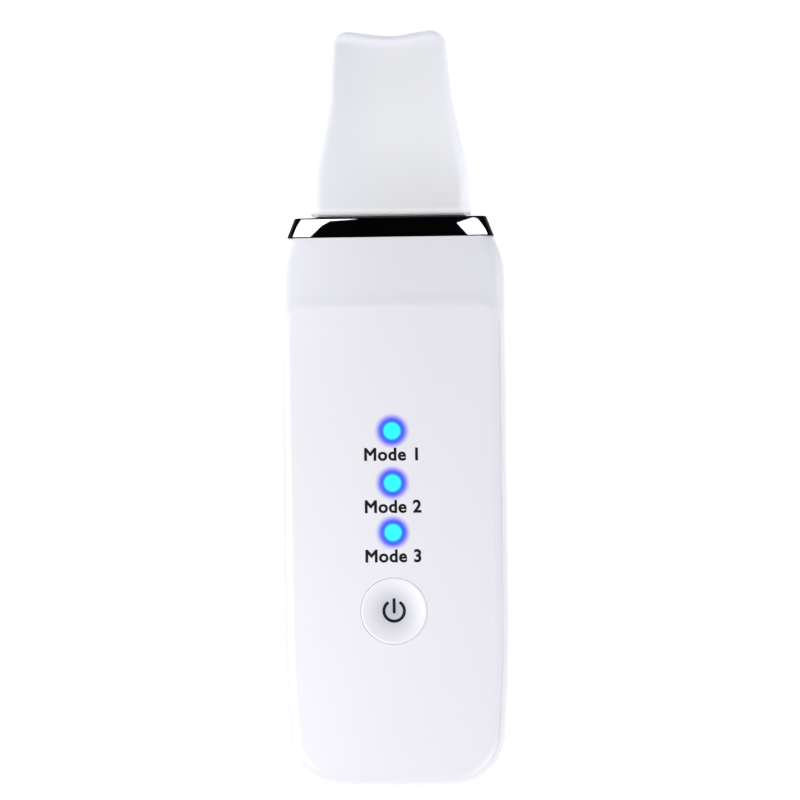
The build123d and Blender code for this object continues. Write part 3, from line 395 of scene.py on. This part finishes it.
# slot: name, colour, shade of its mottle, roughness
MOULDED_PLASTICS = {
    "silicone_black": ("silicone", (0.012, 0.012, 0.013), (0.018, 0.018, 0.02), 0.55),
    "pad_rubber": ("pad_rubber", (0.05, 0.05, 0.055), (0.035, 0.035, 0.04), 0.8),
    "foam_black": ("foam", (0.03, 0.03, 0.03), (0.02, 0.02, 0.02), 0.9),
    "ceramic": ("piezo_ceramic", (0.72, 0.66, 0.50), (0.66, 0.60, 0.45), 0.6),
    "circuit_board": ("solder_mask", (0.012, 0.14, 0.045), (0.008, 0.10, 0.03), 0.35),
    "chip_black": ("chip_epoxy", (0.012, 0.012, 0.013), (0.02, 0.02, 0.022), 0.6),
    "ferrite": ("ferrite", (0.03, 0.03, 0.033), (0.02, 0.02, 0.022), 0.5),
    "baffle_black": ("baffle_nylon", (0.015, 0.015, 0.017), (0.01, 0.01, 0.012), 0.55),
    "connector_cream": ("connector_nylon", (0.74, 0.70, 0.58), (0.70, 0.66, 0.53), 0.5),
    "plunger_black": ("plunger_acetal", (0.015, 0.015, 0.017), (0.02, 0.02, 0.02), 0.4),
    "led_body": ("led_epoxy", (0.78, 0.80, 0.66), (0.74, 0.76, 0.60), 0.3),
    "wire_red": ("wire_red", (0.45, 0.01, 0.01), (0.38, 0.01, 0.01), 0.45),
    "wire_black": ("wire_black", (0.012, 0.012, 0.012), (0.02, 0.02, 0.02), 0.45),
    "wire_white": ("wire_white", (0.70, 0.70, 0.68), (0.64, 0.64, 0.62), 0.45),
}
for slot, settings in MOULDED_PLASTICS.items():
    SLOT_MATERIALS[slot] = moulded_plastic(*settings).material


def give(piece, material):
    """Puts one material on every slot of a piece."""
    piece.data.materials.clear()
    piece.data.materials.append(material)


for entry in frame["record"]["subparts"]:
    if entry["material_slot"] in SLOT_MATERIALS:
        give(nodes[entry["node"]], SLOT_MATERIALS[entry["material_slot"]])
for place, centre in zip(("top", "middle", "bottom"), LENSES):
    give(nodes["light_pipe_" + place], lit_lens("lens_" + place, centre))


# ---------------------------------------------------------------- printed marks
INK = printed_ink("printed_ink")
INK_LIFT = 0.012 * MM
STROKE_GROWTH = 0.045
CAPITAL_SHARE = 0.69
LETTER_SPACING = 1.08
LETTER_FLATNESS = 0.15
ROUND_END_STEPS = 5


def linked(name, data):
    """A new object in the scene that shows the data."""
    made = bpy.data.objects.new(name, data)
    bpy.context.scene.collection.objects.link(made)
    return made


def new_piece(name, points, faces, material, body):
    """A piece of the object, made from points and faces, that rides on a body."""
    mesh = bpy.data.meshes.new(name)
    mesh.from_pydata(points, [], faces)
    mesh.update()
    mesh.materials.append(material)
    piece = linked(name, mesh)
    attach(piece, body)
    return piece


def dish_height(x, y):
    """The height of the dish's surface, at a point measured from the button's middle."""
    ball = (DISH_RADIUS**2 + DISH_DEPTH**2) / (2 * DISH_DEPTH)
    return FRONT_Z - DISH_DEPTH + ball - math.sqrt(ball**2 - x * x - y * y)


def round_stroke(centres, half):
    """Pairs of edge points along a stroke. Its two ends are rounded."""
    first, second = centres[0], centres[1]
    last, before = centres[-1], centres[-2]
    lead_in = (first - second).normalized()
    lead_out = (last - before).normalized()
    angles = [math.radians(90.0 * k / ROUND_END_STEPS) for k in range(ROUND_END_STEPS, 0, -1)]
    rows = [(first + lead_in * half * math.sin(a), -lead_in, half * math.cos(a)) for a in angles]
    for i, point in enumerate(centres):
        ahead = centres[min(i + 1, len(centres) - 1)] - centres[max(i - 1, 0)]
        rows.append((point, ahead.normalized(), half))
    rows += [(last + lead_out * half * math.sin(a), lead_out, half * math.cos(a)) for a in reversed(angles)]
    pairs = []
    for point, ahead, width in rows:
        across = Vector((-ahead.y, ahead.x)) * width
        pairs.append((point + across, point - across))
    return pairs


RING_RADIUS = 2.22 * MM
RING_GAP = math.radians(39)
RING_STEPS = 72
STROKE_HALF = 0.33 * MM
BAR_LOW = -0.25 * MM
BAR_HIGH = 2.45 * MM
BAR_STEPS = 12


def power_symbol():
    """A ring open at the top, and a bar through the opening, printed on the dish."""
    points, faces = [], []

    def strip(pairs):
        start = len(points)
        for pair in pairs:
            for x, y in pair:
                points.append((BUTTON.x + x, BUTTON.y + y, dish_height(x, y) + INK_LIFT))
        for a in range(start, start + 2 * len(pairs) - 2, 2):
            faces.append((a, a + 1, a + 3, a + 2))

    sweep = 2 * math.pi - 2 * RING_GAP
    angles = [RING_GAP + sweep * i / RING_STEPS for i in range(RING_STEPS + 1)]
    strip(round_stroke([Vector((math.sin(a), math.cos(a))) * RING_RADIUS for a in angles], STROKE_HALF))
    heights = [BAR_LOW + (BAR_HIGH - BAR_LOW) * i / BAR_STEPS for i in range(BAR_STEPS + 1)]
    strip(round_stroke([Vector((0, height)) for height in heights], STROKE_HALF))
    new_piece("power_symbol", points, faces, INK, "power_button")


def printed_word(name, words, y, height):
    """A short label centred on the long axis, as flat ink on the panel."""
    curve = bpy.data.curves.new(name, "FONT")
    curve.body = words
    curve.align_x = "CENTER"
    curve.align_y = "CENTER"
    curve.size = height / CAPITAL_SHARE
    curve.space_character = LETTER_SPACING
    curve.bevel_depth = STROKE_GROWTH * height
    curve.bevel_resolution = 1
    curve.resolution_u = 6
    sample = linked(name + "_outline", curve)
    bpy.context.view_layer.update()
    mesh = bpy.data.meshes.new_from_object(sample)
    bpy.data.objects.remove(sample)
    tops = [v.co.y for v in mesh.vertices]
    shift = y - (min(tops) + max(tops)) / 2
    flat = Matrix.Diagonal((1, 1, LETTER_FLATNESS, 1))
    mesh.transform(Matrix.Translation((0, shift, FRONT_Z + INK_LIFT)) @ flat)
    mesh.materials.clear()
    mesh.materials.append(INK)
    piece = linked(name, mesh)
    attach(piece, "handpiece")


power_symbol()
WORD_DROP = 5.07 * MM
WORD_HEIGHT = 2.60 * MM
for number, lens in enumerate(LENSES, 1):
    printed_word(f"mode_mark_{number}", f"Mode {number}", lens.y - WORD_DROP, WORD_HEIGHT)


# ---------------------------------------------------------------- the switch's snap dome
DOME_SHEET = 0.12 * MM
DOME_RINGS = 12
DOME_SPOKES = 48


def snap_dome():
    """The thin spring dome under the plunger."""
    low, high = lowest("switch_dome"), highest("switch_dome")
    centre = middle("switch_dome")
    reach = (high.x - low.x) / 2
    rise = high.z - low.z - DOME_SHEET
    ball = (reach**2 + rise**2) / (2 * rise)
    points, faces = [], []
    for sheet in (0.0, DOME_SHEET):
        points.append((centre.x, centre.y, low.z + rise + sheet))
        for ring in range(1, DOME_RINGS + 1):
            away = reach * ring / DOME_RINGS
            z = low.z + rise - ball + math.sqrt(ball**2 - away**2) + sheet
            for spoke in range(DOME_SPOKES):
                turn = 2 * math.pi * spoke / DOME_SPOKES
                points.append((centre.x + away * math.cos(turn), centre.y + away * math.sin(turn), z))
    layer = 1 + DOME_RINGS * DOME_SPOKES

    def spot(side, ring, spoke):
        """The number of a point of the lower (0) or upper (1) sheet."""
        return side * layer + 1 + (ring - 1) * DOME_SPOKES + spoke % DOME_SPOKES

    for side in (0, 1):
        for spoke in range(DOME_SPOKES):
            fan = [(side * layer, spot(side, 1, spoke), spot(side, 1, spoke + 1))]
            for ring in range(1, DOME_RINGS):
                inner = (spot(side, ring, spoke), spot(side, ring, spoke + 1))
                outer = (spot(side, ring + 1, spoke + 1), spot(side, ring + 1, spoke))
                fan.append((inner[1], inner[0], outer[1], outer[0]))
            faces += fan if side else [tuple(reversed(face)) for face in fan]
    for spoke in range(DOME_SPOKES):
        rim = (spot(0, DOME_RINGS, spoke), spot(0, DOME_RINGS, spoke + 1))
        faces.append((*rim, spot(1, DOME_RINGS, spoke + 1), spot(1, DOME_RINGS, spoke)))
    slot = [e["material_slot"] for e in frame["record"]["subparts"] if e["node"] == "switch_dome"][0]
    dome = new_piece("snap_dome", points, faces, SLOT_MATERIALS[slot], "handpiece")
    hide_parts("switch_dome")
    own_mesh(dome)


snap_dome()


# ---------------------------------------------------------------- floor, light and camera
FLOOR_HALF = 0.9
FLOOR_GLOW = 0.6
FLOOR_GAP = 0.05 * MM
WORLD_COLOUR = (0.93, 0.94, 1.0)
WORLD_STRENGTH = 0.09
NEUTRAL = (1.0, 1.0, 1.0)
COOL = (0.90, 0.93, 1.0)


def stage_mesh(name, points, faces, material):
    """A piece of the studio, which is not part of the object."""
    mesh = bpy.data.meshes.new(name)
    mesh.from_pydata(points, [], faces)
    mesh.materials.append(material)
    linked(name, mesh)


def stage_floor():
    """Plain pale paper just under the back, with a little light of its own."""
    t = Tree("floor_paper")
    t.join(t.mix(t.noise(9.0), (0.93, 0.93, 0.94), (0.91, 0.91, 0.92)), t.shader.inputs["Base Color"])
    t.set(Roughness=0.9)
    t.shader.inputs["Emission Color"].default_value = (1.0, 1.0, 1.0, 1.0)
    t.shader.inputs["Emission Strength"].default_value = FLOOR_GLOW
    signs = ((-1, -1), (1, -1), (1, 1), (-1, 1))
    corners = [(x * FLOOR_HALF, y * FLOOR_HALF, -FLOOR_GAP) for x, y in signs]
    stage_mesh("floor", corners, [(0, 1, 2, 3)], t.material)


def softbox(name, place, aim, size, watts, colour=NEUTRAL):
    """A rectangular lamp at a place, turned to a point. Its size is across and then up."""
    light = bpy.data.lights.new(name, "AREA")
    light.shape = "RECTANGLE"
    light.size, light.size_y = size
    light.energy = watts
    light.color = colour
    lamp = linked(name, light)
    lamp.location = place
    lamp.visible_camera = False
    lamp.rotation_euler = (Vector(aim) - Vector(place)).to_track_quat("-Z", "Y").to_euler()


def studio():
    """A pale world, two large lamps, one long low lamp at each side, and a small one at each shoulder."""
    world = bpy.data.worlds.new("studio")
    world.use_nodes = True
    background = world.node_tree.nodes["Background"]
    background.inputs["Color"].default_value = (*WORLD_COLOUR, 1.0)
    background.inputs["Strength"].default_value = WORLD_STRENGTH
    bpy.context.scene.world = world
    softbox("key_left", (-0.20, -0.11, 0.37), (0, -0.01, 0.015), (0.24, 0.24), 1.43)
    softbox("fill_right", (0.30, -0.42, 0.42), (0, 0, 0.015), (0.4, 0.4), 1.50)
    softbox("rim_left", (-0.15, 0.05, 0.05), (-0.02, 0.05, 0.015), (0.34, 0.06), 0.10, COOL)
    softbox("rim_right", (0.15, 0.0, 0.05), (0.02, 0.0, 0.015), (0.34, 0.06), 0.115, COOL)
    softbox("shoulder_left", (-0.047, 0.040, 0.036), (-0.018, 0.030, 0.014), (0.03, 0.015), 0.0033, COOL)
    softbox("shoulder_right", (0.050, 0.040, 0.036), (0.018, 0.030, 0.014), (0.03, 0.015), 0.0014, COOL)


LENS_MM = 120.0
SENSOR_MM = 36.0
FRAME_SIDE = 800
OBJECT_SIDE = 751
YAW = math.radians(2.5)
ROLL = math.radians(0.70)
AIM = Vector((1.45 * MM, 1.65 * MM, 9 * MM))
BACK = Vector((math.sin(YAW), 0.0, math.cos(YAW)))
SPAN = (cad_box[1][1] - cad_box[0][1]) * FRAME_SIDE / OBJECT_SIDE
EYE = AIM + BACK * SPAN / 2 / (SENSOR_MM / 2 / LENS_MM)


def camera():
    """A long lens straight over the front face, turned slightly to the side and slightly askew."""
    lens = bpy.data.cameras.new("camera")
    lens.lens = LENS_MM
    lens.sensor_width = SENSOR_MM
    holder = linked("camera", lens)
    up = Vector((0, 1, 0))
    turn = Matrix((up.cross(BACK), up, BACK)).transposed() @ Matrix.Rotation(-ROLL, 3, "Z")
    holder.matrix_world = Matrix.Translation(EYE) @ turn.to_4x4()
    bpy.context.scene.camera = holder


def chrome_face():
    """The normal of the collar's flat front face, and a point on it."""
    faces = [f for f in nodes["collar"].data.polygons if f.normal.z > 0.9 and f.center.z > 15 * MM]
    largest = max(faces, key=lambda f: f.area)
    return largest.normal.copy(), largest.center.copy()


# Corners of the two bright reflections on the collar, as x and y on its front face in mm
CARD_HEIGHT = 0.95
CARD_GLOW = 120.0
LEFT_CARD = [
    (-21.6, 37.38),
    (-19.25, 41.3),
    (-11.5, 41.3),
    (-12.9, 40.85),
    (-14.9, 39.75),
    (-17.4, 37.38),
]
LEFT_STREAK = [(-13.0, 40.8), (-12.0, 41.2), (-6.5, 41.2), (-9.5, 40.95)]
RIGHT_CARD = [
    (14.55, 39.95),
    (18.1, 41.1),
    (19.1, 40.75),
    (20.1, 39.45),
    (21.4, 37.38),
    (16.9, 37.38),
]


def reflection_card(name, corners, material):
    """A small glowing card above the camera, placed where the collar mirrors it onto the given corners."""
    normal, spot = chrome_face()
    points = []
    for x, y in corners:
        z = spot.z - ((x * MM - spot.x) * normal.x + (y * MM - spot.y) * normal.y) / normal.z
        corner = Vector((x * MM, y * MM, z))
        sight = (corner - EYE).normalized()
        mirrored = sight - 2 * sight.dot(normal) * normal
        points.append(corner + mirrored * (CARD_HEIGHT - corner.z) / mirrored.z)
    stage_mesh(name, points, [tuple(range(len(points)))], material)


def reflection_cards():
    """The two bright reflections and the thin streak beside the left one."""
    t = Tree("card_glow")
    t.join(t.mix(t.noise(3.0), (1.0, 1.0, 1.0), (0.98, 0.98, 1.0)), t.shader.inputs["Emission Color"])
    t.shader.inputs["Emission Strength"].default_value = CARD_GLOW
    reflection_card("card_left", LEFT_CARD, t.material)
    reflection_card("card_streak", LEFT_STREAK, t.material)
    reflection_card("card_right", RIGHT_CARD, t.material)


stage_floor()
studio()
reflection_cards()
camera()
bpy.context.scene.view_settings.view_transform = "Standard"
bpy.context.scene.cycles.use_denoising = True
